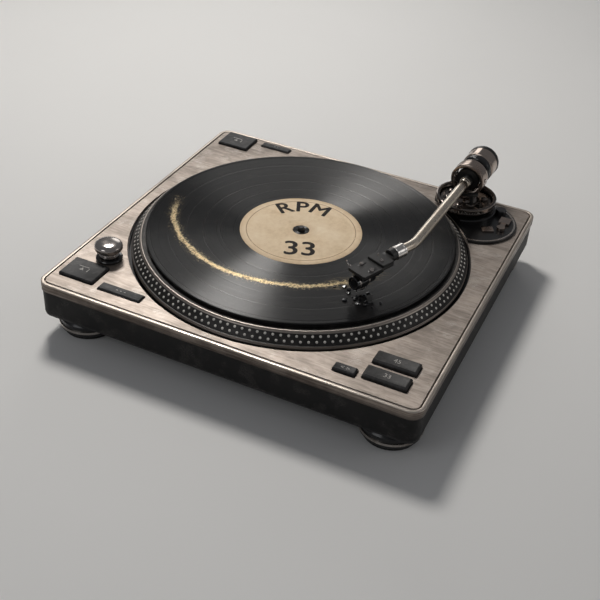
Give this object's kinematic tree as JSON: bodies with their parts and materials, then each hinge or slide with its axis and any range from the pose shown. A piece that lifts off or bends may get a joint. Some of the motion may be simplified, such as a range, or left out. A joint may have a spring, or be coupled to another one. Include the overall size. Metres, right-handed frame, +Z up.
{
  "type": "turntable record player",
  "caption": "Direct drive record deck with a metal top plate, round strobe platter, record, S-shaped tonearm with counterweight, push keys, knob and isolating feet.",
  "frame": {"origin": "on the ground under the middle of the whole object's plan, counterweight overhang included", "axes": "+X to the right across the deck, +Y to the rear, +Z up"},
  "size_m": [0.376, 0.3676, 0.1155],
  "materials": {
    "rubber": "matt black rubber",
    "black_plastic": "matt black plastic",
    "bright_metal": "bright turned metal",
    "steel": "plain steel",
    "black_metal": "black paint",
    "shell_black": "satin black with worn edges",
    "rim_metal": "brown-grey metal with a bright edge",
    "deck_metal": "brushed warm silver with rust-brown specks",
    "brass": "yellow metal",
    "circuit_board": "green board",
    "component_black": "black components",
    "transformer_core": "lacquered laminations",
    "copper": "copper windings",
    "cast_metal": "cast aluminium",
    "white_plastic": "pale plastic",
    "ferrite": "dark magnet",
    "platter_metal": "dark cast aluminium with bright edges and dots",
    "mat_rubber": "black mat",
    "vinyl": "grooved black vinyl with a worn scratch",
    "label_paper": "aged cream paper",
    "key_plastic": "dark grey key caps",
    "chrome": "worn chrome",
    "arm_black": "gloss black metal",
    "worn_metal": "brown-grey metal",
    "gunmetal": "dark metal",
    "worn_chrome": "worn warm chrome",
    "tube_metal": "pale nickel",
    "head_grey": "dark grey paint",
    "gloss_black": "gloss black"
  },
  "bodies": {
    "plinth": {"foot_pads": "rubber", "foot_housings": "black_plastic", "foot_rings": "bright_metal", "foot_studs": "steel", "bottom_cover": "black_metal", "cover_screws": "steel", "base_shell": "shell_black", "chassis_rim": "rim_metal", "top_plate": "deck_metal", "platter_well": "black_metal", "socket_tray": "black_plastic", "signal_sockets": "brass", "ground_post": "bright_metal", "power_inlet": "black_plastic", "main_board": "circuit_board", "board_parts": "component_black", "transformer": "transformer_core", "button_boards": "circuit_board", "button_switches": "component_black", "motor_stator": "steel", "stator_coils": "copper", "bearing_housing": "cast_metal", "bearing_bush": "brass", "thrust_pad": "white_plastic", "knob_base": "black_plastic", "arm_plate": "arm_black", "arm_plate_ring": "bright_metal", "arm_pedestal": "arm_black", "clip_base": "worn_metal"},
    "turntable": {"platter": "platter_metal", "rotor_magnet": "ferrite", "slipmat": "mat_rubber", "record": "vinyl", "record_label": "label_paper", "spindle": "steel"},
    "start_key": {"start_button": "key_plastic"},
    "start_bar_key": {"start_bar": "key_plastic"},
    "rear_key": {"rear_button": "key_plastic"},
    "rear_bar_key": {"rear_bar": "key_plastic"},
    "speed_key_33": {"speed_button_33": "key_plastic"},
    "speed_key_45": {"speed_button_45": "key_plastic"},
    "small_key": {"small_button": "key_plastic"},
    "knob": {"power_knob": "chrome"},
    "cueing_lever": {"cue_lever": "worn_metal"},
    "cueing_lift": {"lift_bar": "arm_black"},
    "anti_skate": {"anti_skate_knob": "black_plastic"},
    "height_dial": {"height_ring": "gunmetal"},
    "column": {"arm_carriage": "arm_black"},
    "gimbal": {"gimbal_ring": "worn_chrome", "pivot_screws": "steel"},
    "arm": {"arm_hub": "arm_black", "arm_tube": "tube_metal", "rear_shaft": "chrome", "headshell": "head_grey", "cartridge": "gloss_black", "stylus": "white_plastic"},
    "headshell_nut": {"locking_nut": "chrome"},
    "force_dial": {"weight_dial": "arm_black"},
    "weight": {"counterweight": "worn_chrome"}
  },
  "joints": [
    {"name": "platter_spin", "type": "hinge", "parent": "plinth", "child": "turntable", "pos_m": [-0.004, -0.00484, 0.058], "axis": [0, 0, 1], "continuous": true},
    {"name": "start_press", "type": "slide", "parent": "plinth", "child": "start_key", "axis": [0, 0, -1], "range_m": [0, 0.0016], "stiffness_N_per_m": 400},
    {"name": "start_bar_press", "type": "slide", "parent": "plinth", "child": "start_bar_key", "axis": [0, 0, -1], "range_m": [0, 0.0016], "stiffness_N_per_m": 400},
    {"name": "rear_press", "type": "slide", "parent": "plinth", "child": "rear_key", "axis": [0, 0, -1], "range_m": [0, 0.0016], "stiffness_N_per_m": 400},
    {"name": "rear_bar_press", "type": "slide", "parent": "plinth", "child": "rear_bar_key", "axis": [0, 0, -1], "range_m": [0, 0.0016], "stiffness_N_per_m": 400},
    {"name": "speed_33_press", "type": "slide", "parent": "plinth", "child": "speed_key_33", "axis": [0, 0, -1], "range_m": [0, 0.0016], "stiffness_N_per_m": 400},
    {"name": "speed_45_press", "type": "slide", "parent": "plinth", "child": "speed_key_45", "axis": [0, 0, -1], "range_m": [0, 0.0016], "stiffness_N_per_m": 400},
    {"name": "small_press", "type": "slide", "parent": "plinth", "child": "small_key", "axis": [0, 0, -1], "range_m": [0, 0.0016], "stiffness_N_per_m": 400},
    {"name": "power_turn", "type": "hinge", "parent": "plinth", "child": "knob", "pos_m": [-0.151, -0.11884, 0.063], "axis": [0, 0, -1], "range_deg": [0, 45]},
    {"name": "cue_lever_turn", "type": "hinge", "parent": "plinth", "child": "cueing_lever", "pos_m": [0.165, 0.11716, 0.062], "axis": [0, 0, -1], "range_deg": [0, 40]},
    {"name": "cue_lift", "type": "slide", "parent": "column", "child": "cueing_lift", "axis": [0, 0, 1], "range_m": [0, 0.002]},
    {"name": "anti_skate_turn", "type": "hinge", "parent": "plinth", "child": "anti_skate", "pos_m": [0.156, 0.14816, 0.063], "axis": [0, 0, 1], "range_deg": [0, 270]},
    {"name": "height_turn", "type": "hinge", "parent": "plinth", "child": "height_dial", "pos_m": [0.119, 0.13816, 0.073], "axis": [0, 0, 1], "range_deg": [0, 300]},
    {"name": "height_rise", "type": "slide", "parent": "plinth", "child": "column", "axis": [0, 0, 1], "range_m": [0, 0.006]},
    {"name": "arm_swing", "type": "hinge", "parent": "column", "child": "gimbal", "pos_m": [0.119, 0.13816, 0.078], "axis": [0, 0, 1], "range_deg": [-14.5, 20]},
    {"name": "arm_lift", "type": "hinge", "parent": "gimbal", "child": "arm", "pos_m": [0.119, 0.13816, 0.098], "axis": [-0.999, 0.0436, 0], "range_deg": [0, 6]},
    {"name": "headshell_lock", "type": "hinge", "parent": "arm", "child": "headshell_nut", "pos_m": [0.10668, -0.02334, 0.098], "axis": [0.3827, 0.9239, 0], "range_deg": [0, 90]},
    {"name": "weight_travel", "type": "slide", "parent": "arm", "child": "force_dial", "axis": [0.0436, 0.999, 0], "range_m": [-0.004, 0.006]},
    {"name": "weight_turn", "type": "hinge", "parent": "force_dial", "child": "weight", "pos_m": [0.12031, 0.16813, 0.098], "axis": [0.0436, 0.999, 0], "range_deg": [-720, 1080]}
  ],
  "couplings": [
    {"joint": "cue_lever_turn", "follows": "cue_lift", "rad_per_m": 349.07},
    {"joint": "height_turn", "follows": "height_rise", "rad_per_m": 872.66},
    {"joint": "weight_turn", "follows": "weight_travel", "rad_per_m": 3141.6}
  ]
}
